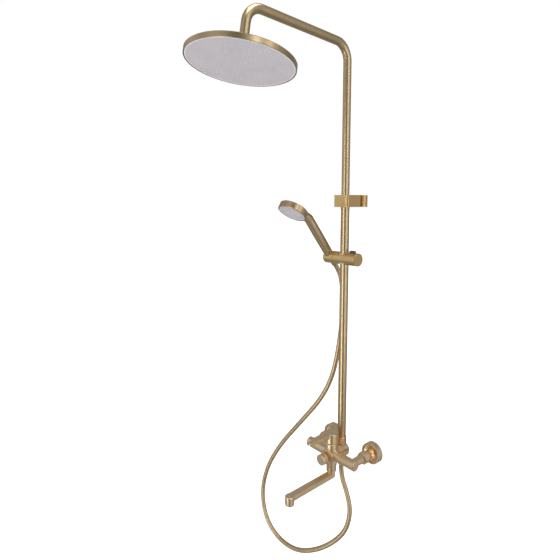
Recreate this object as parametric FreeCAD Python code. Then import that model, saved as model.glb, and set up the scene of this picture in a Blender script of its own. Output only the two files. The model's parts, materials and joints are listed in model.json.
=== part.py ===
import FreeCAD, Part
import math
import os

# Rainfall shower column: exposed bath and shower mixer, telescopic riser with a
# rain head, sliding hand shower on a flexible hose.
# Millimetres. The wall is the plane y = 0 and the room is on the -Y side. The
# origin is on the wall, midway between the two water inlets. +X is right, +Z up.

os.makedirs("parts", exist_ok=True)

# Driving dimensions
INLET_SPACING = 150.0       # standard distance between hot and cold inlets
BODY_Y = -100.0             # axis of the horizontal mixer body, from the wall
RISER_Y = -57.0             # axis of the riser, from the wall
BODY_RADIUS = 14.0
BODY_LENGTH = 179.0
END_CAP = 2.6               # visible thickness of each body end cap
THREAD_HALF = 10.48         # outside radius of a G1/2 thread
THREAD_THREE_QUARTER = 13.2  # outside radius of a G3/4 thread
FIT = 0.05                  # radial running clearance
GAP = 0.3                   # clearance between faces that only pass each other

TOWER_RADIUS = 19.5
SEAM_Z = 36.0               # top of the cartridge tower
LEVER_TOP = 64.0
LEVER_REACH = 92.0
LIFT_PIVOT_Z = 24.0
BARREL_RADIUS = 20.5
BARREL_Z = -4.0             # axis of the diverter barrel
SPOUT_REACH = 162.0
SPOUT_Z = -65.0             # centre of the spout bar
HOSE_RADIUS = 7.0

LOWER_TUBE_RADIUS = 12.0
UPPER_TUBE_RADIUS = 10.95
BRACKET_Z = 722.0
BRACKET_HEIGHT = 33.0
ARM_Z = 1136.0              # where the riser and arm centre lines meet
ARM_RISE = 2.55             # degrees that the arm climbs away from the wall
ARM_LENGTH = 331.0
BEND_RADIUS = 45.0
HEAD_LEAN = 9.6             # degrees that the rain head faces away from the wall
HEAD_DROP = 134.7           # from the arm's centre line down to the spray face
HEAD_RADIUS = 125.0
BALL_DROP = 100.0           # from the arm's centre line down to the ball centre
BALL_RADIUS = 10.0

SLIDER_Z = 562.0
SLIDER_RADIUS = 18.0
HANDSET_X = -52.0
HANDLE_LEAN = 38.9          # degrees from vertical, away from the wall
HANDSET_HEAD_RADIUS = 40.0
HANDSET_HEAD_ALONG = 197.0  # head centre along the handle from the holder axis
HANDSET_HEAD_FORWARD = 31.0
HANDSET_CANT = 19.1         # degrees between the handle and the spray plate

X = FreeCAD.Vector(1, 0, 0)
Y = FreeCAD.Vector(0, 1, 0)
Z = FreeCAD.Vector(0, 0, 1)
ORIGIN = FreeCAD.Vector(0, 0, 0)

parts = {}


def at(x, y, z):
    return FreeCAD.Vector(x, y, z)


def cyl(radius, length, base, axis=Z):
    return Part.makeCylinder(radius, length, base, axis)


def ring(outer, inner, length, base, axis=Z):
    return cyl(outer, length, base, axis).cut(cyl(inner, length, base, axis))


def box(x_span, y_span, z_span):
    size = [high - low for low, high in (x_span, y_span, z_span)]
    return Part.makeBox(*size, at(x_span[0], y_span[0], z_span[0]))


def turned(profile, base=ORIGIN, axis=Z):
    """A solid turned from (radius, height) points about an axis through base."""
    points = [at(radius, 0, height) for radius, height in profile]
    face = Part.Face(Part.makePolygon(points + points[:1]))
    solid = face.revolve(ORIGIN, Z, 360)
    solid.Placement = FreeCAD.Placement(base, FreeCAD.Rotation(Z, axis))
    return solid


def hexagon(across_flats, length, base, axis=Z):
    """A hexagonal bar with its corners turned off at both ends."""
    corner = across_flats / math.sqrt(3)
    points = [at(corner * math.cos(k * math.pi / 3), corner * math.sin(k * math.pi / 3), 0) for k in range(6)]
    bar = Part.Face(Part.makePolygon(points + points[:1])).extrude(Z * length)
    bevel = corner - across_flats / 2
    blank = turned([(0, 0), (across_flats / 2, 0), (corner, bevel), (corner, length - bevel),
                    (across_flats / 2, length), (0, length)])
    bar = bar.common(blank)
    bar.Placement = FreeCAD.Placement(base, FreeCAD.Rotation(Z, axis))
    return bar


def soften(solid, radius, wanted):
    """Round the edges that wanted(edge) picks out."""
    edges = [edge for edge in solid.Edges if wanted(edge)]
    return solid.makeFillet(radius, edges)


def upright(edge):
    """True for a straight edge that runs along Z."""
    direction = edge.Vertexes[-1].Point - edge.Vertexes[0].Point
    return isinstance(edge.Curve, Part.Line) and abs(direction.z) > 0.99 * direction.Length


def circle_at(y=None, z=None, radius=None):
    """A test for circular edges with the given centre height, depth or radius."""
    def wanted(edge):
        curve = edge.Curve
        return (isinstance(curve, Part.Circle)
                and (y is None or abs(curve.Center.y - y) < 0.01)
                and (z is None or abs(curve.Center.z - z) < 0.01)
                and (radius is None or abs(curve.Radius - radius) < 0.01))
    return wanted


def swept(path, radius, start, direction):
    """A round bar of the given radius along a wire."""
    section = Part.Wire(Part.makeCircle(radius, start, direction))
    return path.makePipeShell([section], True, True)


def rounded_path(points, radii):
    """Straight runs through the points, with a tangent arc at each corner."""
    edges = []
    last = points[0]
    for before, corner, after, radius in zip(points, points[1:], points[2:], radii):
        back = (before - corner).normalize()
        ahead = (after - corner).normalize()
        half_turn = (math.pi - back.getAngle(ahead)) / 2
        tangent = radius * math.tan(half_turn)
        start = corner + back * tangent
        end = corner + ahead * tangent
        middle = corner + (back + ahead).normalize() * (radius / math.cos(half_turn) - radius)
        edges.append(Part.LineSegment(last, start).toShape())
        edges.append(Part.Arc(start, middle, end).toShape())
        last = end
    edges.append(Part.LineSegment(last, points[-1]).toShape())
    return Part.Wire(edges)


# Wall connections: escutcheons, unions, nuts and washers, one pair of each
inlets = [at(side * INLET_SPACING / 2, 0, 0) for side in (-1, 1)]

cup = [(13.3, 9), (28.2, 7), (28.2, 0), (30, 0), (30, 18.6), (28.8, 20), (26.2, 20), (25, 18.8),
       (24.4, 14.5), (17, 12), (13.3, 12)]
parts["wall_escutcheons"] = Part.makeCompound([turned(cup, inlet, -Y) for inlet in inlets])

NUT_START = 38.0            # distances out from the wall
NUT_END = 58.0
UNION_END = 42.0
union = [(7.5, -16), (THREAD_HALF, -16), (THREAD_HALF, 2), (THREAD_THREE_QUARTER, 2),
         (THREAD_THREE_QUARTER, UNION_END), (7.5, UNION_END)]
parts["inlet_unions"] = Part.makeCompound([turned(union, inlet, -Y) for inlet in inlets])

washer = [(8, UNION_END), (12.8, UNION_END), (12.8, UNION_END + 2), (8, UNION_END + 2)]
parts["inlet_washers"] = Part.makeCompound([turned(washer, inlet, -Y) for inlet in inlets])

nuts = []
for inlet in inlets:
    nut = hexagon(30, NUT_END - NUT_START, inlet - Y * NUT_START, -Y)
    nut = nut.cut(cyl(THREAD_THREE_QUARTER + 0.1, 11, inlet - Y * NUT_START, -Y))
    nut = nut.cut(cyl(11, 20, inlet - Y * NUT_START, -Y))
    nuts.append(nut)
parts["union_nuts"] = Part.makeCompound(nuts)

# Mixer body: one casting with its waterways
half = BODY_LENGTH / 2 - END_CAP
body = cyl(BODY_RADIUS, 2 * half, at(-half, BODY_Y, 0), X)
for inlet in inlets:
    arm = [(0, 44), (12.8, 44), (12.8, 48), (10.8, 48), (10.8, 58.4), (11.8, 58.4), (11.8, -BODY_Y),
           (0, -BODY_Y)]
    body = body.fuse(turned(arm, inlet, -Y))
tower = [(0, -10), (TOWER_RADIUS, -10), (TOWER_RADIUS, SEAM_Z - 3), (TOWER_RADIUS - 3, SEAM_Z), (0, SEAM_Z)]
body = body.fuse(turned(tower, at(0, BODY_Y, 0)))
barrel = [(0, 43), (18, 43), (BARREL_RADIUS, 45.5), (BARREL_RADIUS, 120), (18.5, 122), (0, 122)]
body = body.fuse(turned(barrel, at(0, 0, BARREL_Z), -Y))
spout_boss = [(0, -44), (13.4, -44), (14, -43.4), (14, -38), (18, -22), (18, -10), (0, -10)]
body = body.fuse(turned(spout_boss, at(0, BODY_Y, 0)))
body = body.fuse(cyl(10.5, 20, at(0, RISER_Y, 0)))
body = body.fuse(cyl(12, 24, at(0, RISER_Y, -28)))
body = body.removeSplitter()
for side, inlet in zip((-1, 1), inlets):
    body = body.cut(cyl(7, half - 22, at(side * 22, BODY_Y, 0), X * side))
    body = body.cut(cyl(7, -BODY_Y - 44, inlet - Y * 44, -Y))
    body = body.cut(cyl(9.5, 6, at(side * (half - 6), BODY_Y, 0), X * side))
    port = at(side * 9, BODY_Y, 8) - at(side * 24, BODY_Y, 0)
    body = body.cut(cyl(2.8, port.Length, at(side * 24, BODY_Y, 0), port))
body = body.cut(cyl(15.1, SEAM_Z, at(0, BODY_Y, 6.5)))
body = body.cut(cyl(9.55, 60, at(0, -62, BARREL_Z), -Y))
body = body.cut(cyl(3.5, 16, at(0, BODY_Y, -4)))
body = body.cut(cyl(7, 36, at(0, BODY_Y, -44)))
body = body.cut(cyl(7, 24, at(0, RISER_Y, -4)))
body = body.cut(cyl(6, 10, at(0, RISER_Y + 3, BARREL_Z), -Y))
body = body.cut(cyl(5, 24, at(0, RISER_Y, -28)))
body = body.cut(cyl(8.1, 10, at(0, RISER_Y, -28)))
parts["mixer_body"] = body

caps = []
for side in (-1, 1):
    cap = [(0, -5.5), (9.4, -5.5), (9.4, 0), (BODY_RADIUS, 0), (BODY_RADIUS, END_CAP - 1),
           (BODY_RADIUS - 1, END_CAP), (0, END_CAP)]
    caps.append(turned(cap, at(side * half, BODY_Y, 0), X * side))
parts["body_end_caps"] = Part.makeCompound(caps)

# Ceramic cartridge and lever: the rotor turns, the stem tilts in the rotor
cartridge_base = at(0, BODY_Y, 0)
parts["cartridge_gasket"] = ring(15, 13, 1.5, at(0, BODY_Y, 6.5))
cartridge = cyl(15, 23, at(0, BODY_Y, 8)).cut(cyl(12.3, 23, at(0, BODY_Y, 11)))
for port_x, port_radius in ((-9, 2.8), (0, 2.6), (9, 2.8)):
    cartridge = cartridge.cut(cyl(port_radius, 3, at(port_x, BODY_Y, 8)))
parts["cartridge_body"] = cartridge
parts["cartridge_nut"] = turned([(10, 31), (15, 31), (15, SEAM_Z - 1), (14.5, SEAM_Z - 0.5), (10.5, SEAM_Z - 0.5),
                                 (10, SEAM_Z - 1)], cartridge_base)

rotor = cyl(12.3 - FIT, 18, at(0, BODY_Y, 11.1))
rotor = rotor.cut(box((-4.2, 4.2), (BODY_Y - 8.5, BODY_Y + 8.5), (14, 31)))
rotor = rotor.cut(cyl(1.5, 24, at(-12, BODY_Y, LIFT_PIVOT_Z), X))
parts["cartridge_rotor"] = rotor
parts["stem_pin"] = cyl(1.5, 23, at(-11.5, BODY_Y, LIFT_PIVOT_Z), X)
stem = box((-4, 4), (BODY_Y - 4, BODY_Y + 4), (17, 51))
parts["cartridge_stem"] = stem.cut(cyl(1.5 + FIT, 8, at(-4, BODY_Y, LIFT_PIVOT_Z), X))

lever = turned([(0, SEAM_Z + 1.5), (TOWER_RADIUS, SEAM_Z + 1.5), (TOWER_RADIUS, LEVER_TOP), (0, LEVER_TOP)],
               cartridge_base)
ROOT_HALF_WIDTH = 9.0
TIP_HALF_WIDTH = 5.5
tip_y = BODY_Y - LEVER_REACH
blade_plan = Part.Face(Part.makePolygon([at(-ROOT_HALF_WIDTH, BODY_Y - 8, 0), at(-TIP_HALF_WIDTH, tip_y, 0),
                                         at(TIP_HALF_WIDTH, tip_y, 0), at(ROOT_HALF_WIDTH, BODY_Y - 8, 0),
                                         at(-ROOT_HALF_WIDTH, BODY_Y - 8, 0)])).extrude(Z * 100)
blade_side = Part.Face(Part.makePolygon([at(-20, BODY_Y - 8, LEVER_TOP - 13), at(-20, BODY_Y - 30, LEVER_TOP - 11),
                                         at(-20, tip_y, LEVER_TOP - 8), at(-20, tip_y, LEVER_TOP - 1),
                                         at(-20, BODY_Y - 30, LEVER_TOP), at(-20, BODY_Y - 8, LEVER_TOP),
                                         at(-20, BODY_Y - 8, LEVER_TOP - 13)])).extrude(X * 40)
blade = blade_plan.common(blade_side)
blade = soften(blade, 4.5, lambda edge: upright(edge) and edge.Vertexes[0].Point.y < tip_y + 1)
lever = lever.fuse(blade).removeSplitter()
lever = soften(lever, 1.2, circle_at(z=LEVER_TOP, radius=TOWER_RADIUS))
lever = lever.cut(ring(16.8, 10, 22, at(0, BODY_Y, SEAM_Z)))
lever = lever.cut(cyl(10, 6, at(0, BODY_Y, SEAM_Z)))
lever = lever.cut(box((-4.05, 4.05), (BODY_Y - 4.05, BODY_Y + 4.05), (SEAM_Z, 51.5)))
SCREW_Z = 47.0
lever = lever.cut(cyl(2.05, 10, at(0, BODY_Y, SCREW_Z), -Y))
lever = lever.cut(cyl(3.05, 10, at(0, BODY_Y - 12, SCREW_Z), -Y))
parts["mixer_lever"] = lever
parts["lever_grub_screw"] = cyl(2, 5.7, at(0, BODY_Y - 4.2, SCREW_Z), -Y)
parts["lever_index_plug"] = turned([(0, 0), (3, 0), (3, 2.8), (2.4, 3.4), (0, 3.4)],
                                   at(0, BODY_Y - 16.6, SCREW_Z), -Y)

# Diverter in the barrel, with its knob in front
diverter = at(0, 0, BARREL_Z)
housing = ring(9.5, 6, 52, diverter - Y * 64, -Y)
housing = housing.cut(cyl(3.4, 12, at(0, BODY_Y, BARREL_Z)))
housing = housing.cut(cyl(4.5, 12, at(0, BODY_Y, BARREL_Z), -Z))
parts["diverter_cartridge"] = housing
parts["diverter_nut"] = ring(9.5, 4 + FIT, 6, diverter - Y * 116, -Y)
spindle = turned([(0, 70), (6 - FIT, 70), (6 - FIT, 115.8), (4, 115.8), (4, 140), (0, 140)], diverter, -Y)
spindle = spindle.cut(box((-7, 7), (BODY_Y - 5, BODY_Y + 5), (BARREL_Z, BARREL_Z + 7)))
parts["diverter_spindle"] = spindle
KNOB_RADIUS = 15.0
knob = turned([(0, 123), (9, 123), (9, 127), (KNOB_RADIUS, 129), (KNOB_RADIUS, 146), (0, 146)], diverter, -Y)
knob = soften(knob, 1.2, circle_at(y=-146, radius=KNOB_RADIUS))
knob = knob.cut(cyl(4.05, 17.5, diverter - Y * 123, -Y))
knob = knob.cut(cyl(2.05, 20, at(0, -136, BARREL_Z), -Z))
parts["diverter_knob"] = knob
parts["knob_grub_screw"] = cyl(2, 7, at(0, -136, BARREL_Z - 4.2), -Z)

# Swivel spout
spout_nut = turned([(14, -44.2), (14, -52), (13, -53), (11 + FIT, -53), (11 + FIT, -48.6), (12.9, -48.6),
                    (12.9, -44.2)], cartridge_base)
parts["spout_nut"] = spout_nut
BAR_HALF_WIDTH = 10.5
BAR_HALF_HEIGHT = 7.0
NOZZLE_RADIUS = 12.5
nozzle_y = BODY_Y - SPOUT_REACH
bar_bottom = SPOUT_Z - BAR_HALF_HEIGHT
root = turned([(0, bar_bottom), (9, bar_bottom), (11, bar_bottom + 2), (11, -48.4), (12.7, -48.4),
               (12.7, -46.2), (11, -46.2), (11, -44.4), (0, -44.4)], cartridge_base)
bar = box((-BAR_HALF_WIDTH, BAR_HALF_WIDTH), (nozzle_y, BODY_Y), (bar_bottom, SPOUT_Z + BAR_HALF_HEIGHT))
bar = soften(bar, 2, lambda edge: isinstance(edge.Curve, Part.Line)
             and abs(edge.Vertexes[0].Point.y - edge.Vertexes[-1].Point.y) > 100)
end = cyl(NOZZLE_RADIUS, 2 * BAR_HALF_HEIGHT, at(0, nozzle_y, bar_bottom))
end = soften(end, 2, circle_at(z=SPOUT_Z + BAR_HALF_HEIGHT))
spout = root.fuse(bar).fuse(end).fuse(cyl(NOZZLE_RADIUS, 4, at(0, nozzle_y, bar_bottom - 4))).removeSplitter()
spout = spout.cut(cyl(7.5, 20.4, at(0, BODY_Y, -64.8)))
spout = spout.cut(box((-7.5, 7.5), (nozzle_y, BODY_Y), (SPOUT_Z - 4, SPOUT_Z + 4)))
spout = spout.cut(cyl(10, 16, at(0, nozzle_y, bar_bottom - 4)))
parts["spout"] = spout
parts["spout_seal"] = ring(12.6, 11.1, 1.4, at(0, BODY_Y, -46))
aerator_top = bar_bottom - 4
parts["aerator_housing"] = turned([(8.2, aerator_top + 7), (9.9, aerator_top + 7), (9.9, aerator_top - 0.1),
                                   (12, aerator_top - 0.1), (12, aerator_top - 6.8), (11.2, aerator_top - 7.6),
                                   (8.2, aerator_top - 7.6)], at(0, nozzle_y, 0))
insert = cyl(8.1, 9, at(0, nozzle_y, aerator_top - 6.6))
for row in range(-2, 3):
    for column in range(-2, 3):
        if row * row + column * column < 7:
            insert = insert.cut(cyl(1.0, 9, at(column * 2.9, nozzle_y + row * 2.9, aerator_top - 6.6)))
parts["aerator_insert"] = insert

# Riser: nut, lower tube, seal, guide bush and the upper tube with the arm
parts["riser_nut"] = turned([(10.6, 20.1), (10.6, 17), (13, 17), (14, 18), (14, 37), (13.2, 38), (12.1, 38),
                             (12.1, 20.1)], at(0, RISER_Y, 0))
parts["riser_lower_tube"] = ring(LOWER_TUBE_RADIUS, UPPER_TUBE_RADIUS + FIT, BRACKET_Z - 20.3,
                                 at(0, RISER_Y, 20.3))
parts["riser_seal"] = ring(13.4, UPPER_TUBE_RADIUS + FIT, 3.6, at(0, RISER_Y, BRACKET_Z + 0.2))
TUBE_FOOT = 452.0
parts["riser_guide_bush"] = turned([(7.5, TUBE_FOOT - 22), (UPPER_TUBE_RADIUS, TUBE_FOOT - 22),
                                    (UPPER_TUBE_RADIUS, TUBE_FOOT - 0.2), (9.4, TUBE_FOOT - 0.2),
                                    (9.4, TUBE_FOOT + 18), (7.5, TUBE_FOOT + 18)], at(0, RISER_Y, 0))

rise = math.radians(ARM_RISE)
arm_end = at(0, RISER_Y - ARM_LENGTH, ARM_Z + ARM_LENGTH * math.tan(rise))
head_frame = FreeCAD.Placement(arm_end, FreeCAD.Rotation(X, -HEAD_LEAN))
TUBE_DROP = 76.0            # where the tube ends, below the arm's centre line
route = rounded_path([at(0, RISER_Y, TUBE_FOOT), at(0, RISER_Y, ARM_Z), arm_end,
                      head_frame.multVec(at(0, 0, -TUBE_DROP))], [BEND_RADIUS, BEND_RADIUS])
upper = swept(route, UPPER_TUBE_RADIUS, at(0, RISER_Y, TUBE_FOOT), Z)
parts["riser_upper_tube"] = upper.cut(swept(route, 9.45, at(0, RISER_Y, TUBE_FOOT), Z))


def on_head(solid):
    """Move a solid from the rain head's own frame, whose origin is the arm's end."""
    solid.Placement = head_frame.multiply(solid.Placement)
    return solid


ball_nipple = turned([(0, -70), (9.3, -70), (9.3, -76.2), (14, -76.2), (14, -86), (12.5, -88), (6, -88),
                      (6, -95), (0, -95)])
ball_nipple = ball_nipple.fuse(Part.makeSphere(BALL_RADIUS, at(0, 0, -BALL_DROP)))
ball_nipple = ball_nipple.cut(cyl(3.5, 42, at(0, 0, -111)))
parts["arm_ball_nipple"] = on_head(ball_nipple)
ball_centre = at(0, 0, -BALL_DROP)
SEAT_RADIUS = 11.0          # outside radius of the spherical seat under the ball
seat = Part.makeSphere(SEAT_RADIUS, ball_centre).cut(Part.makeSphere(BALL_RADIUS + FIT, ball_centre))
parts["ball_seat"] = on_head(seat.common(cyl(SEAT_RADIUS, 2, at(0, 0, -BALL_DROP - 9))))
parts["ball_nut"] = on_head(turned([(8.7, -92.6), (14.6, -92.6), (16, -94), (16, -111), (15, -112), (13.05, -112),
                                    (13.05, -104.4), (10.4, -104.4), (10.4, -94.4), (8.7, -94.4)]))
RIM_TOP = -HEAD_DROP + 13.5
shell = turned([(4, -104.6), (12.95, -104.6), (12.95, -113.5), (24, -116.5),
                (100, RIM_TOP + 1.2), (122, RIM_TOP), (HEAD_RADIUS, RIM_TOP - 2.5),
                (HEAD_RADIUS, -HEAD_DROP + 0.6), (HEAD_RADIUS - 0.6, -HEAD_DROP), (123.4, -HEAD_DROP),
                (123.4, RIM_TOP - 3), (4, -120)])
parts["rain_head_shell"] = on_head(shell.cut(Part.makeSphere(SEAT_RADIUS + FIT, ball_centre)))
parts["rain_head_gasket"] = on_head(ring(123, 118, 2, at(0, 0, -HEAD_DROP + 5.2)))
face = turned([(0, -HEAD_DROP + 1), (121.8, -HEAD_DROP + 1), (123, -HEAD_DROP + 1.8), (123, -HEAD_DROP + 5),
               (0, -HEAD_DROP + 5)])
parts["rain_head_face"] = on_head(face)

# Wall bracket that steadies the riser
low = BRACKET_Z - BRACKET_HEIGHT / 2
high = BRACKET_Z + BRACKET_HEIGHT / 2
BRACKET_HALF_WIDTH = 22.0
BASE_HALF_WIDTH = 32.0
BASE_DEPTH = 13.0
block_front = RISER_Y - 14.5
block = box((-BRACKET_HALF_WIDTH, BRACKET_HALF_WIDTH), (block_front, -BASE_DEPTH - 1.2), (low, high))
block = soften(block, 3, upright)
block = block.cut(cyl(LOWER_TUBE_RADIUS + 0.1, BRACKET_Z - low, at(0, RISER_Y, low)))
block = block.cut(cyl(13.5, 4, at(0, RISER_Y, BRACKET_Z)))
block = block.cut(cyl(UPPER_TUBE_RADIUS + FIT, BRACKET_HEIGHT, at(0, RISER_Y, low)))
block = block.cut(cyl(9.1, 16, at(0, -BASE_DEPTH - 1.2, BRACKET_Z), -Y))
block = block.cut(cyl(2.1, 20, at(0, -24, low)))
pegs = [at(side * 17.5, block_front, BRACKET_Z) for side in (-1, 1)]
for peg in pegs:
    block = block.cut(cyl(2.5, 6, peg, Y))
parts["bracket_block"] = block
cap = box((-BRACKET_HALF_WIDTH, BRACKET_HALF_WIDTH), (block_front - 8.5, block_front - 1), (low, high))
cap = soften(cap, 4, lambda edge: upright(edge) and edge.Vertexes[0].Point.y < block_front - 8)
for peg in pegs:
    cap = cap.fuse(cyl(2.4, 6.5, peg - Y, Y))
parts["bracket_front_cap"] = cap
base = box((-BASE_HALF_WIDTH, BASE_HALF_WIDTH), (-BASE_DEPTH, 0), (low, high))
base = soften(base, 4, lambda edge: upright(edge) and edge.Vertexes[0].Point.y < -1)
base = base.fuse(cyl(9, 16, at(0, -BASE_DEPTH, BRACKET_Z), -Y))
base = base.cut(cyl(2.5, 14, at(0, 0, BRACKET_Z), -Y))
parts["bracket_base"] = base
parts["bracket_grub_screw"] = cyl(2, 7, at(0, -24, low + 0.2))

# Slider on the riser, its brake and release button, and the handset holder
slider_left = -30.0
slider_right = 47.0
slider = cyl(SLIDER_RADIUS, slider_right - slider_left, at(slider_left, RISER_Y, SLIDER_Z), X)
BUSH_RADIUS = 13.9
slider = slider.cut(cyl(BUSH_RADIUS + 0.05, 2 * SLIDER_RADIUS, at(0, RISER_Y, SLIDER_Z - SLIDER_RADIUS)))
slider = slider.cut(cyl(4.1, 16, at(slider_left, RISER_Y, SLIDER_Z), X))
slider = slider.cut(cyl(5.1, 12, at(12, RISER_Y, SLIDER_Z), X))
BUTTON_X = 29.5
POCKET = ((BUTTON_X - 8.3, BUTTON_X + 8.3), (RISER_Y - 6.3, RISER_Y + 6.3))
slider = slider.cut(box(*POCKET, (SLIDER_Z + 1, SLIDER_Z + SLIDER_RADIUS)))
parts["slider_body"] = slider.cut(cyl(9.1, 6, at(slider_right - 6, RISER_Y, SLIDER_Z), X))
bush = ring(BUSH_RADIUS, LOWER_TUBE_RADIUS + FIT, 2 * SLIDER_RADIUS, at(0, RISER_Y, SLIDER_Z - SLIDER_RADIUS))
bush = bush.common(cyl(SLIDER_RADIUS - 0.6, 40, at(-20, RISER_Y, SLIDER_Z), X))
parts["slider_bush"] = bush.cut(cyl(5.2, 20, at(0, RISER_Y, SLIDER_Z), X))
parts["slider_brake"] = cyl(5, 10.5, at(12.4, RISER_Y, SLIDER_Z), X)
parts["slider_end_cap"] = turned([(0, -5.5), (9, -5.5), (9, 0), (SLIDER_RADIUS, 0), (SLIDER_RADIUS, 3.2),
                                  (SLIDER_RADIUS - 0.8, 4), (0, 4)], at(slider_right, RISER_Y, SLIDER_Z), X)
button = box((BUTTON_X - 8, BUTTON_X + 8), (RISER_Y - 6, RISER_Y + 6), (SLIDER_Z + 8, SLIDER_Z + 23.5))
button = soften(button, 2.5, upright)
parts["release_button"] = soften(button, 1, lambda edge: abs(edge.CenterOfMass.z - SLIDER_Z - 23.5) < 0.01)
spring_route = Part.makeHelix(1.6, 5.6, 3.2)
spring_route.translate(at(BUTTON_X, RISER_Y, SLIDER_Z + 1.7))
spring = swept(Part.Wire(spring_route), 0.45, at(BUTTON_X + 3.2, RISER_Y, SLIDER_Z + 1.7), Y)
parts["button_spring"] = spring
parts["holder_pivot_pin"] = cyl(4, 24, at(-38.5, RISER_Y, SLIDER_Z), X)
parts["holder_washer"] = ring(15, 4.2, 1, at(-31.1, RISER_Y, SLIDER_Z), X)

holder_frame = FreeCAD.Placement(at(HANDSET_X, RISER_Y, SLIDER_Z), FreeCAD.Rotation(X, HANDLE_LEAN))


def on_holder(solid):
    """Move a solid from the handset's own frame: +Z up the handle, -Y the spray side."""
    solid.Placement = holder_frame.multiply(solid.Placement)
    return solid


def cone_radius(height):
    """Radius of the seating cone at a height along the handle."""
    return 10.9 + 0.078 * height


HOLDER_LEFT = -68.0
holder = cyl(SLIDER_RADIUS, -31.2 - HOLDER_LEFT, at(HOLDER_LEFT, RISER_Y, SLIDER_Z), X)
holder = soften(holder, 2.5, lambda edge: isinstance(edge.Curve, Part.Circle)
                and abs(edge.Curve.Center.x - HOLDER_LEFT) < 0.01)
socket = on_holder(Part.makeCone(cone_radius(-20) + GAP, cone_radius(20) + GAP, 40, at(0, 0, -20)))
slot = on_holder(box((-20, 0), (-HOSE_RADIUS - 0.8, HOSE_RADIUS + 0.8), (-20, 20)))
holder = holder.cut(socket).cut(slot)
parts["handset_holder"] = holder.cut(cyl(4 + FIT, 7.8, at(-31.2, RISER_Y, SLIDER_Z), -X))

# Handset: moulded handle and head, with a bezel, spray plate and waterway
NUT_FOOT = -30.0
grip = [(0, 13.2), (cone_radius(13.2), 13.2), (cone_radius(19), 19), (13, 25), (13.3, 90), (13, 146), (0, 146)]
handle = turned(grip)
neck = []
for along, forward, radius in ((140, 0, 13.1), (156, 3.5, 12.8), (170, 10, 11), (184, 17, 8)):
    neck.append(Part.Wire(Part.makeCircle(radius, at(0, -forward, along), Z)))
handle = handle.fuse(Part.makeLoft(neck, True, False))
tilt = FreeCAD.Rotation(X, HANDSET_CANT - 90)
head_place = FreeCAD.Placement(at(0, -HANDSET_HEAD_FORWARD, HANDSET_HEAD_ALONG), tilt)


def on_handset_head(solid):
    """Move a solid from the spray head's frame, which sprays along its own -Z."""
    solid.Placement = head_place.multiply(solid.Placement)
    return solid


R = HANDSET_HEAD_RADIUS
handle = handle.fuse(on_handset_head(turned([(0, -6), (R, -6), (R, 7.5), (R - 1.5, 9), (0, 9)]))).removeSplitter()
handle = handle.cut(on_handset_head(cyl(R - 2, 10.5, at(0, 0, -6))))
waterway_tube = [(0, 13.2), (8.1, 13.2), (8.1, 150), (0, 150)]
handle = handle.cut(turned(waterway_tube))
parts["handset_handle"] = on_holder(handle)
parts["handset_waterway"] = on_holder(ring(8, 6.4, 120, at(0, 0, 26)))
bezel = turned([(R - 3, -9), (R - 0.8, -9), (R, -8.2), (R, -6.1), (R - 2.1, -6.1), (R - 2.1, -3), (R - 3, -3)])
parts["handset_bezel"] = on_holder(on_handset_head(bezel))
parts["handset_face"] = on_holder(on_handset_head(cyl(R - 3.1, 4, at(0, 0, -8.3))))
insert = turned([(6.4, -3), (10.3, -3), (10.3, 13), (8, 13.1), (8, 25.8), (6.4, 25.8)])
parts["handset_thread_insert"] = on_holder(insert)
parts["handset_washer"] = on_holder(ring(9.8, 6, 2, at(0, 0, -5.2)))

cone_nut = turned([(4.5, NUT_FOOT), (cone_radius(NUT_FOOT) - 0.5, NUT_FOOT), (cone_radius(-29), -29),
                   (cone_radius(13), 13), (10.4, 13), (10.4, -5.4), (4.5, -5.4)])
parts["hose_cone_nut"] = on_holder(cone_nut)

# Hose outlet under the mixer, and the hose
parts["hose_nipple"] = turned([(5, -38), (10.3, -38), (10.3, -28.2), (8, -28.2), (8, -18.2), (5, -18.2)],
                              at(0, RISER_Y, 0))
HOSE_NUT_FOOT = -50.0
parts["hose_outlet_nut"] = turned([(10.4, -30), (12, -30), (12, -44), (9, HOSE_NUT_FOOT), (4.5, HOSE_NUT_FOOT),
                                   (4.5, -38.6), (10.4, -38.6)], at(0, RISER_Y, 0))

hose_start = holder_frame.multVec(at(0, 0, NUT_FOOT))
hose_leave = holder_frame.multVec(at(0, 0, NUT_FOOT - 30))
hose_points = [hose_start, hose_leave] + [at(*point) for point in (
    (-48.5, -12, 486), (-42, -13, 440), (-36.5, -21, 372), (-35.5, -36, 288), (-45, -49, 205),
    (-80, -60, 125), (-155, -73, 28), (-240, -87, -80), (-297, -101, -185), (-316, -108, -295),
    (-272, -110, -385), (-160, -108, -400), (-58, -95, -345), (22, -68, -262), (38, -54, -190),
    (20, -51, -135), (0, RISER_Y, HOSE_NUT_FOOT - 36), (0, RISER_Y, HOSE_NUT_FOOT))]
hose_radii = []
for before, corner, after in zip(hose_points, hose_points[1:], hose_points[2:]):
    shorter = min((before - corner).Length, (after - corner).Length)
    turn = math.pi - (before - corner).getAngle(after - corner)
    hose_radii.append(0.45 * shorter / math.tan(turn / 2))
hose_route = rounded_path(hose_points, hose_radii)
start_direction = hose_points[1] - hose_points[0]
hose = swept(hose_route, HOSE_RADIUS, hose_start, start_direction)
parts["shower_hose"] = hose.cut(swept(hose_route, 4.5, hose_start, start_direction))

section = math.pi * (HOSE_RADIUS ** 2 - 4.5 ** 2)
print("hose length", round(hose_route.Length), "arc radii", [round(radius) for radius in hose_radii])
print("hose volume over section times length", round(parts["shower_hose"].Volume / (section * hose_route.Length), 4))

for name, shape in parts.items():
    shape.exportStep("parts/" + name + ".step")
print(len(parts), "nodes")
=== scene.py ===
import bpy
import json
import math
from mathutils import Matrix, Vector


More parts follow.
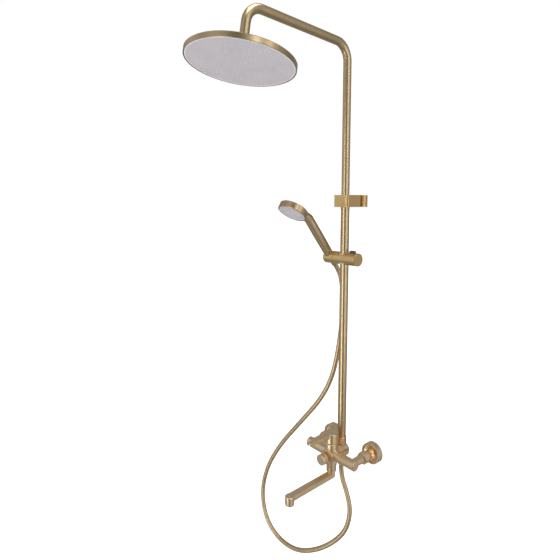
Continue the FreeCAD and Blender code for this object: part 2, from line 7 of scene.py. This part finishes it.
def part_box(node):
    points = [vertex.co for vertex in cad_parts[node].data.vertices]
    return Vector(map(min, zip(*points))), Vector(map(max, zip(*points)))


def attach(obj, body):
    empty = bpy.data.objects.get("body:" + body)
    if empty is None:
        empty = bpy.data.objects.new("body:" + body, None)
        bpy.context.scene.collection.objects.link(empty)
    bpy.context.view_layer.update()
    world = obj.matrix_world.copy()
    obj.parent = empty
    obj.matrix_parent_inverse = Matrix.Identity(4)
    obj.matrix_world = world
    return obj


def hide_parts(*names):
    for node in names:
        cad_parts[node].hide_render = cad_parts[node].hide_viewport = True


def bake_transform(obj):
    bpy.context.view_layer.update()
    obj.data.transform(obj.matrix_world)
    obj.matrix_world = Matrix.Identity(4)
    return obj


# Looks of the rainfall shower column. Metres, in the CAD's own frame: the wall is
# y = 0, the room is on the -Y side, and the origin is midway between the inlets.

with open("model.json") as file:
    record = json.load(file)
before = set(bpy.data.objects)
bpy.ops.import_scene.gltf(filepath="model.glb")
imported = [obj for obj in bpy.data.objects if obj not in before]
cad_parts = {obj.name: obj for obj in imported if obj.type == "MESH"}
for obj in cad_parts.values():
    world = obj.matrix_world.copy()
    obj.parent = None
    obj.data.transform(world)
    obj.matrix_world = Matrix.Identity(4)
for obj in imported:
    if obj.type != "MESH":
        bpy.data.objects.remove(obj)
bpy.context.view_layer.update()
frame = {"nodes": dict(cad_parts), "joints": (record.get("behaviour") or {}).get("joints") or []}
cad_nodes = frame["nodes"]

scene = bpy.context.scene
scene.view_settings.view_transform = "Standard"
scene.view_settings.look = "None"


def joint(name):
    return next(entry for entry in frame["joints"] if entry["name"] == name)


# ---------------------------------------------------------------- camera

AZIMUTH = math.radians(49.19)       # how far round the camera stands, from the -Y side towards +X
PITCH = math.radians(6.22)          # how far it looks down
CAMERA_AWAY = 1.2916
CAMERA_LEFT = 0.2240
CAMERA_HEIGHT = 0.7188
LENS = 28.93
SENSOR_WIDTH = 36
SHIFT_UP = -0.0514
right = Vector((math.cos(AZIMUTH), math.sin(AZIMUTH), 0))
away = Vector((math.sin(AZIMUTH), -math.cos(AZIMUTH), 0))
back = away * math.cos(PITCH) + Vector((0, 0, math.sin(PITCH)))
up = back.cross(right)

camera = bpy.data.objects.new("camera", bpy.data.cameras.new("camera"))
scene.collection.objects.link(camera)
place = Matrix((right, up, back)).transposed().to_4x4()
place.translation = away * CAMERA_AWAY - right * CAMERA_LEFT + Vector((0, 0, CAMERA_HEIGHT))
camera.matrix_world = place
camera.data.lens = LENS
camera.data.sensor_width = SENSOR_WIDTH
camera.data.shift_y = SHIFT_UP
scene.camera = camera

# ---------------------------------------------------------------- studio

LIGHT_AIM = Vector((0, -0.12, 0.45))


def softbox(name, turn, climb, distance, width, height, power):
    """An area light aimed at the column, turn degrees round from the camera's side to the right."""
    direction = Matrix.Rotation(math.radians(turn), 3, "Z") @ away
    direction = direction * math.cos(math.radians(climb)) + Vector((0, 0, math.sin(math.radians(climb))))
    data = bpy.data.lights.new(name, "AREA")
    data.shape = "RECTANGLE"
    data.size = width
    data.size_y = height
    data.energy = power
    light = bpy.data.objects.new(name, data)
    scene.collection.objects.link(light)
    light.location = LIGHT_AIM + direction * distance
    light.rotation_euler = (-direction).to_track_quat("-Z", "Y").to_euler()


softbox("key", 28, 8, 2.6, 0.4, 3.6, 12)
softbox("fill_left", -48, -12, 2.6, 0.6, 2.6, 18)
softbox("side_left", -105, 10, 2.6, 1.6, 3.0, 5)
softbox("side_right", 56, 10, 2.8, 0.35, 3.4, 8)
softbox("top", 10, 80, 2.4, 1.4, 1.4, 22)

# Pale and dark upright bands round the studio, which the metal mirrors. Each is
# degrees from the camera's side towards the picture's right, and how bright it is.
BANDS = [(-180, 0.35), (-125, 0.27), (-98, 0.36), (-60, 0.56), (-32, 0.54), (-16, 0.22), (-3, 0.11),
         (8, 0.18), (26, 0.62), (45, 0.48), (82, 0.50), (112, 0.24), (150, 0.32), (180, 0.35)]


def direction_fraction(nodes, links):
    """Where round the studio a ray goes, from 0 at -180 degrees to 1 at 180 degrees."""
    seen_along = nodes.new("ShaderNodeTexCoord")
    turned_round = nodes.new("ShaderNodeMapping")
    turned_round.inputs["Rotation"].default_value = (0, 0, math.pi / 2 - AZIMUTH)
    links.new(seen_along.outputs["Generated"], turned_round.inputs["Vector"])
    parts_of = nodes.new("ShaderNodeSeparateXYZ")
    links.new(turned_round.outputs["Vector"], parts_of.inputs["Vector"])
    angle_of = nodes.new("ShaderNodeMath")
    angle_of.operation = "ARCTAN2"
    links.new(parts_of.outputs["Y"], angle_of.inputs[0])
    links.new(parts_of.outputs["X"], angle_of.inputs[1])
    fraction = nodes.new("ShaderNodeMapRange")
    fraction.inputs["From Min"].default_value = -math.pi
    fraction.inputs["From Max"].default_value = math.pi
    links.new(angle_of.outputs[0], fraction.inputs["Value"])
    return fraction.outputs["Result"]


def band_colours(nodes):
    """A colour ramp with one slightly cool stop for each band."""
    bands = nodes.new("ShaderNodeValToRGB")
    for number, (degrees, level) in enumerate(BANDS):
        place_at = (degrees + 180) / 360
        if 0 < number < len(BANDS) - 1:
            stop = bands.color_ramp.elements.new(place_at)
        else:
            stop = bands.color_ramp.elements[0 if number == 0 else -1]
        stop.position = place_at
        stop.color = (0.94 * level, 0.96 * level, level, 1)
    return bands


def studio_world():
    """White to the camera, and the bands to everything else."""
    world = bpy.data.worlds.new("studio")
    world.use_nodes = True
    nodes = world.node_tree.nodes
    links = world.node_tree.links
    nodes.clear()
    world_out = nodes.new("ShaderNodeOutputWorld")
    choose = nodes.new("ShaderNodeMixShader")
    ray = nodes.new("ShaderNodeLightPath")
    backdrop = nodes.new("ShaderNodeBackground")
    backdrop.inputs["Color"].default_value = (1, 1, 1, 1)
    ambient = nodes.new("ShaderNodeBackground")
    bands = band_colours(nodes)
    links.new(direction_fraction(nodes, links), bands.inputs["Fac"])
    links.new(bands.outputs["Color"], ambient.inputs["Color"])
    links.new(ray.outputs["Is Camera Ray"], choose.inputs["Fac"])
    links.new(ambient.outputs[0], choose.inputs[1])
    links.new(backdrop.outputs[0], choose.inputs[2])
    links.new(choose.outputs[0], world_out.inputs["Surface"])
    return world


scene.world = studio_world()

# ---------------------------------------------------------------- materials


def material(name):
    """A new node material: its node tree and its Principled shader."""
    made = bpy.data.materials.new(name)
    made.use_nodes = True
    return made, made.node_tree, made.node_tree.nodes["Principled BSDF"]


def coordinates(tree, scale):
    """Object coordinates, which are the row frame's metres, stretched by scale."""
    source = tree.nodes.new("ShaderNodeTexCoord")
    mapping = tree.nodes.new("ShaderNodeMapping")
    mapping.inputs["Scale"].default_value = scale
    tree.links.new(source.outputs["Object"], mapping.inputs["Vector"])
    return mapping.outputs["Vector"]


def noise(tree, vector, scale, detail=3.0, roughness=0.5):
    texture = tree.nodes.new("ShaderNodeTexNoise")
    texture.inputs["Scale"].default_value = scale
    texture.inputs["Detail"].default_value = detail
    texture.inputs["Roughness"].default_value = roughness
    tree.links.new(vector, texture.inputs["Vector"])
    return texture.outputs["Fac"]


def ramp(tree, factor, low, high):
    """Colours from low to high as factor goes from 0.3 to 0.7."""
    colours = tree.nodes.new("ShaderNodeValToRGB")
    colours.color_ramp.elements[0].position = 0.3
    colours.color_ramp.elements[0].color = (*low, 1)
    colours.color_ramp.elements[1].position = 0.7
    colours.color_ramp.elements[1].color = (*high, 1)
    tree.links.new(factor, colours.inputs["Fac"])
    return colours.outputs["Color"]


def spread(tree, factor, low, high):
    """A number from low to high as factor goes from 0.25 to 0.75."""
    node = tree.nodes.new("ShaderNodeMapRange")
    node.inputs["From Min"].default_value = 0.25
    node.inputs["From Max"].default_value = 0.75
    node.inputs["To Min"].default_value = low
    node.inputs["To Max"].default_value = high
    tree.links.new(factor, node.inputs["Value"])
    return node.outputs["Result"]


def bump(tree, shader, height, strength, distance):
    node = tree.nodes.new("ShaderNodeBump")
    node.inputs["Strength"].default_value = strength
    node.inputs["Distance"].default_value = distance
    tree.links.new(height, node.inputs["Height"])
    tree.links.new(node.outputs["Normal"], shader.inputs["Normal"])


BRUSH_STRENGTH = 0.04
BRUSH_DEPTH = 0.00002


def brushed(name, low, high, roughness, grain):
    """Plated metal with brush lines. grain stretches the noise, smallest along the lines."""
    made, tree, shader = material(name)
    shader.inputs["Metallic"].default_value = 1.0
    lines = noise(tree, coordinates(tree, grain), 1.0, 4.0, 0.6)
    clouds = noise(tree, coordinates(tree, (1, 1, 1)), 14.0, 2.0)
    tree.links.new(ramp(tree, clouds, low, high), shader.inputs["Base Color"])
    tree.links.new(spread(tree, lines, roughness - 0.02, roughness + 0.03), shader.inputs["Roughness"])
    bump(tree, shader, lines, BRUSH_STRENGTH, BRUSH_DEPTH)
    return made


MOULDED_DEPTH = 0.0002


def moulded(name, low, high, roughness, grain_scale, strength):
    """Plastic or rubber with a fine moulded grain."""
    made, tree, shader = material(name)
    vector = coordinates(tree, (1, 1, 1))
    grain = noise(tree, vector, grain_scale, 3.0)
    clouds = noise(tree, vector, 25.0, 2.0)
    tree.links.new(ramp(tree, clouds, low, high), shader.inputs["Base Color"])
    tree.links.new(spread(tree, grain, roughness - 0.05, roughness + 0.05), shader.inputs["Roughness"])
    bump(tree, shader, grain, strength, MOULDED_DEPTH)
    return made


GOLD_LOW = (0.56, 0.415, 0.23)
GOLD_HIGH = (0.62, 0.465, 0.265)
# The mixer and wall fittings get the same gold made lighter: a painted sheen, the brighter light their broad
# faces catch from the lamps.
LIT_GOLD_LOW = (0.84, 0.63, 0.39)
LIT_GOLD_HIGH = (0.91, 0.695, 0.445)
# The bracket and slider get the same gold in a lighter, more saturated tone: painted light, how their flat
# faces catch the lamps.
BLOCK_LOW = (0.74, 0.51, 0.225)
BLOCK_HIGH = (0.81, 0.57, 0.265)
GOLD_ROUGHNESS = 0.31
BLOCK_ROUGHNESS = 0.3
round_grain = (160, 160, 1800)      # lines run around an upright piece
along_x_grain = (1800, 160, 160)
along_y_grain = (160, 1800, 160)
gold_upright = brushed("gold_upright", GOLD_LOW, GOLD_HIGH, GOLD_ROUGHNESS, round_grain)
gold_across = brushed("gold_across", BLOCK_LOW, BLOCK_HIGH, BLOCK_ROUGHNESS, along_x_grain)
gold_forward = brushed("gold_forward", BLOCK_LOW, BLOCK_HIGH, BLOCK_ROUGHNESS, along_y_grain)
# Lighter copies of the gold, with painted sheen, for the mixer and wall fittings.
lit_gold_upright = brushed("lit_gold_upright", LIT_GOLD_LOW, LIT_GOLD_HIGH, GOLD_ROUGHNESS, round_grain)
lit_gold_across = brushed("lit_gold_across", LIT_GOLD_LOW, LIT_GOLD_HIGH, GOLD_ROUGHNESS, along_x_grain)
lit_gold_forward = brushed("lit_gold_forward", LIT_GOLD_LOW, LIT_GOLD_HIGH, GOLD_ROUGHNESS, along_y_grain)
hose_gold = brushed("hose_gold", (0.60, 0.44, 0.24), (0.67, 0.50, 0.285), 0.36, (300, 300, 300))
bare_brass = brushed("bare_brass", (0.72, 0.52, 0.22), (0.80, 0.60, 0.28), 0.35, round_grain)
steel = brushed("steel", (0.50, 0.50, 0.51), (0.60, 0.60, 0.61), 0.3, round_grain)
plate_grey = moulded("plate_grey", (0.33, 0.307, 0.322), (0.36, 0.337, 0.352), 0.45, 900.0, 0.1)
nozzle_grey = moulded("nozzle_grey", (0.36, 0.345, 0.37), (0.40, 0.385, 0.41), 0.5, 1500.0, 0.05)
# Pale grey for the ring at the spray plate's edge: a painted highlight.
edge_highlight = moulded("edge_highlight", (0.52, 0.51, 0.53), (0.58, 0.57, 0.59), 0.4, 1500.0, 0.05)
button_grey = moulded("button_grey", (0.045, 0.048, 0.055), (0.07, 0.075, 0.085), 0.35, 1200.0, 0.12)
white_plastic = moulded("white_plastic", (0.70, 0.70, 0.67), (0.78, 0.78, 0.75), 0.4, 800.0, 0.08)
black_rubber = moulded("black_rubber", (0.012, 0.012, 0.012), (0.025, 0.025, 0.025), 0.6, 1400.0, 0.15)

FINISHES = {
    gold_upright: ["riser_lower_tube", "riser_upper_tube", "arm_ball_nipple", "ball_nut", "rain_head_shell",
                   "handset_handle", "handset_bezel", "hose_cone_nut"],
    gold_across: ["slider_body", "slider_end_cap", "handset_holder"],
    gold_forward: ["bracket_block", "bracket_front_cap", "bracket_base"],
    lit_gold_upright: ["mixer_body", "mixer_lever", "spout_nut", "riser_nut", "hose_outlet_nut",
                    "aerator_housing"],
    lit_gold_across: ["body_end_caps"],
    lit_gold_forward: ["wall_escutcheons", "union_nuts", "inlet_unions", "diverter_knob", "spout",
                    "lever_index_plug"],
    hose_gold: ["shower_hose"],
    bare_brass: ["cartridge_nut", "cartridge_stem", "diverter_nut", "diverter_spindle", "hose_nipple",
                 "handset_thread_insert"],
    steel: ["stem_pin", "lever_grub_screw", "knob_grub_screw", "bracket_grub_screw", "button_spring",
            "holder_pivot_pin"],
    plate_grey: ["rain_head_face", "handset_face"],
    button_grey: ["release_button"],
    white_plastic: ["cartridge_body", "cartridge_rotor", "diverter_cartridge", "riser_guide_bush",
                    "slider_bush", "slider_brake", "handset_waterway", "aerator_insert", "holder_washer",
                    "ball_seat"],
    black_rubber: ["inlet_washers", "cartridge_gasket", "spout_seal", "riser_seal",
                   "rain_head_gasket", "handset_washer"],
}
for finish, names in FINISHES.items():
    for name in names:
        mesh = cad_nodes[name].data
        mesh.materials.clear()
        mesh.materials.append(finish)


def piece(name, vertices, faces, finish, body):
    """A new smooth mesh that takes its finish from a slot, and rides on a body if one is given."""
    mesh = bpy.data.meshes.new(name)
    mesh.from_pydata(vertices, [], faces)
    mesh.update()
    mesh.polygons.foreach_set("use_smooth", [True] * len(mesh.polygons))
    mesh.materials.append(finish)
    made = bpy.data.objects.new(name, mesh)
    scene.collection.objects.link(made)
    if body:
        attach(made, body)
    return made


# ---------------------------------------------------------------- hose

HOSE_RADIUS = 0.007
RIB_PITCH = 0.0038
RIB_DEPTH = 0.0005
RING_STEP = RIB_PITCH / 4
SIDES = 18
HANDLE_LEAN = 38.9                  # degrees from upright
HANDSET_LIFT = 0.055                # how far the handset is drawn up
NUT_FOOT = 0.030                    # from the holder's pivot down the handle to the hose's end
lean = math.radians(HANDLE_LEAN)
pivot = Vector((-0.052, -0.057, 0.562))
down_handle = Vector((0, math.sin(lean), -math.cos(lean)))
hose_exit = pivot + down_handle * NUT_FOOT
HOSE_ROUTE = [hose_exit, pivot + down_handle * 0.060] + [Vector(point) for point in (
    (-0.0485, -0.012, 0.486), (-0.042, -0.013, 0.440), (-0.0365, -0.021, 0.372), (-0.0355, -0.036, 0.288),
    (-0.045, -0.049, 0.205), (-0.080, -0.060, 0.125), (-0.155, -0.073, 0.028), (-0.240, -0.087, -0.080),
    (-0.297, -0.101, -0.185), (-0.316, -0.108, -0.295), (-0.272, -0.110, -0.385), (-0.160, -0.108, -0.400),
    (-0.058, -0.095, -0.345), (0.022, -0.068, -0.262), (0.038, -0.054, -0.190), (0.020, -0.051, -0.135),
    (0, -0.057, -0.086), (0, -0.057, -0.050))]


def smooth_line(points):
    """Points along the NURBS curve that has the given control points."""
    curve = bpy.data.curves.new("route", "CURVE")
    curve.dimensions = "3D"
    curve.resolution_u = 48
    spline = curve.splines.new("NURBS")
    spline.points.add(len(points) - 1)
    for control, point in zip(spline.points, points):
        control.co = (*point, 1)
    spline.order_u = 3
    spline.use_endpoint_u = True
    holder = bpy.data.objects.new("route", curve)
    mesh = bpy.data.meshes.new_from_object(holder)
    line = [vertex.co.copy() for vertex in mesh.vertices]
    bpy.data.objects.remove(holder)
    bpy.data.curves.remove(curve)
    bpy.data.meshes.remove(mesh)
    return line


def evenly(line, step):
    """The same line with points a fixed step apart."""
    found = [line[0]]
    carried = 0.0
    for first, second in zip(line, line[1:]):
        length = (second - first).length
        along = step - carried
        while along <= length:
            found.append(first.lerp(second, along / length))
            along += step
        carried = (carried + length) % step
    found.append(line[-1])
    return found


def frames_along(line):
    """A tangent and two sideways directions at each point, turning as little as possible."""
    side = Vector((1, 0, 0))
    found = []
    for index in range(len(line)):
        ahead = line[min(index + 1, len(line) - 1)] - line[max(index - 1, 0)]
        ahead.normalize()
        side = (side - ahead * side.dot(ahead)).normalized()
        found.append((ahead, side, ahead.cross(side)))
    return found


def ribbed_tube(line, turns, first, last):
    """A hose whose spiral rib rises and falls once each pitch, between two points of the line."""
    vertices = []
    faces = []
    for index in range(first, last + 1):
        for k in range(SIDES):
            angle = 2 * math.pi * k / SIDES
            phase = index * RING_STEP / RIB_PITCH - k / SIDES
            radius = HOSE_RADIUS - RIB_DEPTH * (0.5 - 0.5 * math.cos(2 * math.pi * phase)) ** 2
            side, over = turns[index][1:]
            vertices.append(line[index] + (side * math.cos(angle) + over * math.sin(angle)) * radius)
    for ring in range(last - first):
        for k in range(SIDES):
            low = ring * SIDES
            following = (k + 1) % SIDES
            faces.append((low + k, low + following, low + SIDES + following, low + SIDES + k))
    faces.append(tuple(reversed(range(SIDES))))
    faces.append(tuple(range((last - first) * SIDES, (last - first + 1) * SIDES)))
    return vertices, faces


hose_line = evenly(smooth_line(HOSE_ROUTE), RING_STEP)
hose_turns = frames_along(hose_line)
TOP_LENGTH = 0.110
top_end = round(TOP_LENGTH / RING_STEP)
lowest = min(range(len(hose_line)), key=lambda index: hose_line[index].z)
stretches = {
    "hose_top": (0, top_end),
    "hose_strand": (top_end, lowest),
    "hose_tail": (lowest, len(hose_line) - 1),
}
hose = {}
for name, (first, last) in stretches.items():
    vertices, faces = ribbed_tube(hose_line, hose_turns, first, last)
    body = "root" if name == "hose_tail" else None
    hose[name] = piece(name, vertices, faces, hose_gold, body)
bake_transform(hose["hose_top"])
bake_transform(hose["hose_strand"])
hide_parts("shower_hose")

# What shows of the hose when the handset is drawn up out of its holder
inner_line = evenly([hose_exit - down_handle * HANDSET_LIFT, hose_exit], RING_STEP)
vertices, faces = ribbed_tube(inner_line, frames_along(inner_line), 0, len(inner_line) - 1)
hose_inner = piece("hose_inner_end", vertices, faces, hose_gold, "holder")

for name, start, others in (("hose_top", hose_exit, [cad_nodes["hose_cone_nut"], hose_inner]),
                            ("hose_strand", hose_line[top_end], []),
                            ("hose_tail", hose_line[-1], [cad_nodes["hose_outlet_nut"]])):
    first, last = stretches[name]
    path = hose_line[first:last + 1]
    if name == "hose_tail":
        path = path[::-1]

# ---------------------------------------------------------------- spray plates


def plate_frame(node, towards):
    """A round plate's middle on the side that faces towards, that direction, and two directions across it."""
    corners = [vertex.co for vertex in cad_nodes[node].data.vertices]
    low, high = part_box(node)
    middle = (low + high) / 2
    facing = towards.normalized()
    front = max((corner - middle).dot(facing) for corner in corners)
    across = Vector((1, 0, 0))
    return middle + facing * front, facing, across, facing.cross(across).normalized()


def nozzles(name, node, towards, body, pitch, rings, base, tip, height):
    """Soft nozzles in rings on a spray plate, each a small rounded cone."""
    middle, facing, across, along = plate_frame(node, towards)
    profile = [(base, 0.0), (0.85 * base, 0.35 * height), (tip, 0.85 * height), (0.7 * tip, height)]
    sides = 10
    vertices = []
    faces = []
    for ring in range(rings):
        count = max(1, 6 * ring)
        for number in range(count):
            turn = 2 * math.pi * (number + 0.5 * (ring % 2)) / count
            foot = middle + (across * math.cos(turn) + along * math.sin(turn)) * ring * pitch
            start = len(vertices)
            for radius, rise in profile:
                for k in range(sides):
                    angle = 2 * math.pi * k / sides
                    vertices.append(foot + (across * math.cos(angle) + along * math.sin(angle)) * radius
                                    + facing * rise)
            for level in range(len(profile) - 1):
                for k in range(sides):
                    a = start + level * sides + k
                    b = start + level * sides + (k + 1) % sides
                    faces.append((a, b, b + sides, a + sides))
            faces.append(tuple(start + (len(profile) - 1) * sides + k for k in range(sides)))
    return piece(name, vertices, faces, nozzle_grey, body)


def plate_bead(name, node, towards, body, radius, thickness):
    """A raised ring near a spray plate's edge, with a rounded section, coloured pale: a painted highlight
    where the edge catches the light.
    """
    middle, facing, across, along = plate_frame(node, towards)
    around = 160
    section = 12
    vertices = []
    faces = []
    for step in range(around):
        turn = 2 * math.pi * step / around
        outward = across * math.cos(turn) + along * math.sin(turn)
        for k in range(section):
            angle = 2 * math.pi * k / section
            vertices.append(middle + outward * (radius + thickness * math.cos(angle))
                            + facing * thickness * 0.6 * math.sin(angle))
            following = (step + 1) % around * section
            faces.append((step * section + k, step * section + (k + 1) % section,
                          following + (k + 1) % section, following + k))
    return piece(name, vertices, faces, edge_highlight, body)


roll_axis = Vector(joint("head_roll")["axis"])
spray_down = roll_axis.cross(Vector((1, 0, 0)))
if spray_down.z > 0:
    spray_down.negate()
nozzles("rain_nozzles", "rain_head_face", spray_down, "rain_head", 0.0098, 12, 0.0016, 0.0009, 0.0010)
plate_bead("rain_plate_bead", "rain_head_face", spray_down, "rain_head", 0.1205, 0.0011)
HANDSET_BEND = 19.1                 # degrees between the handle and its head
lean_out = math.radians(HANDLE_LEAN + HANDSET_BEND - 90)
handset_spray = Matrix.Rotation(lean_out, 3, "X") @ Vector((0, 0, -1))
nozzles("handset_nozzles", "handset_face", handset_spray, "handset", 0.0051, 7, 0.0010, 0.0006, 0.0010)

# ---------------------------------------------------------------- floor

FLOOR_Z = -1.1
FLOOR_REACH = 80.0
FLOOR_GLOW = 0.95
floor_mesh = bpy.data.meshes.new("floor")
floor_corners = [(x * FLOOR_REACH, y * FLOOR_REACH, FLOOR_Z) for x, y in ((-1, -1), (1, -1), (1, 1), (-1, 1))]
floor_mesh.from_pydata(floor_corners, [], [(0, 1, 2, 3)])
floor = bpy.data.objects.new("floor", floor_mesh)
scene.collection.objects.link(floor)
pale, pale_tree, pale_shader = material("pale_floor")
floor_clouds = noise(pale_tree, coordinates(pale_tree, (1, 1, 1)), 3.0)
pale_tree.links.new(ramp(pale_tree, floor_clouds, (0.90, 0.90, 0.90), (0.93, 0.93, 0.93)),
                    pale_shader.inputs["Base Color"])
pale_shader.inputs["Roughness"].default_value = 0.9
pale_shader.inputs["Emission Color"].default_value = (1, 1, 1, 1)
pale_shader.inputs["Emission Strength"].default_value = FLOOR_GLOW
pale.cycles.emission_sampling = "NONE"
floor_mesh.materials.append(pale)
floor.visible_glossy = False
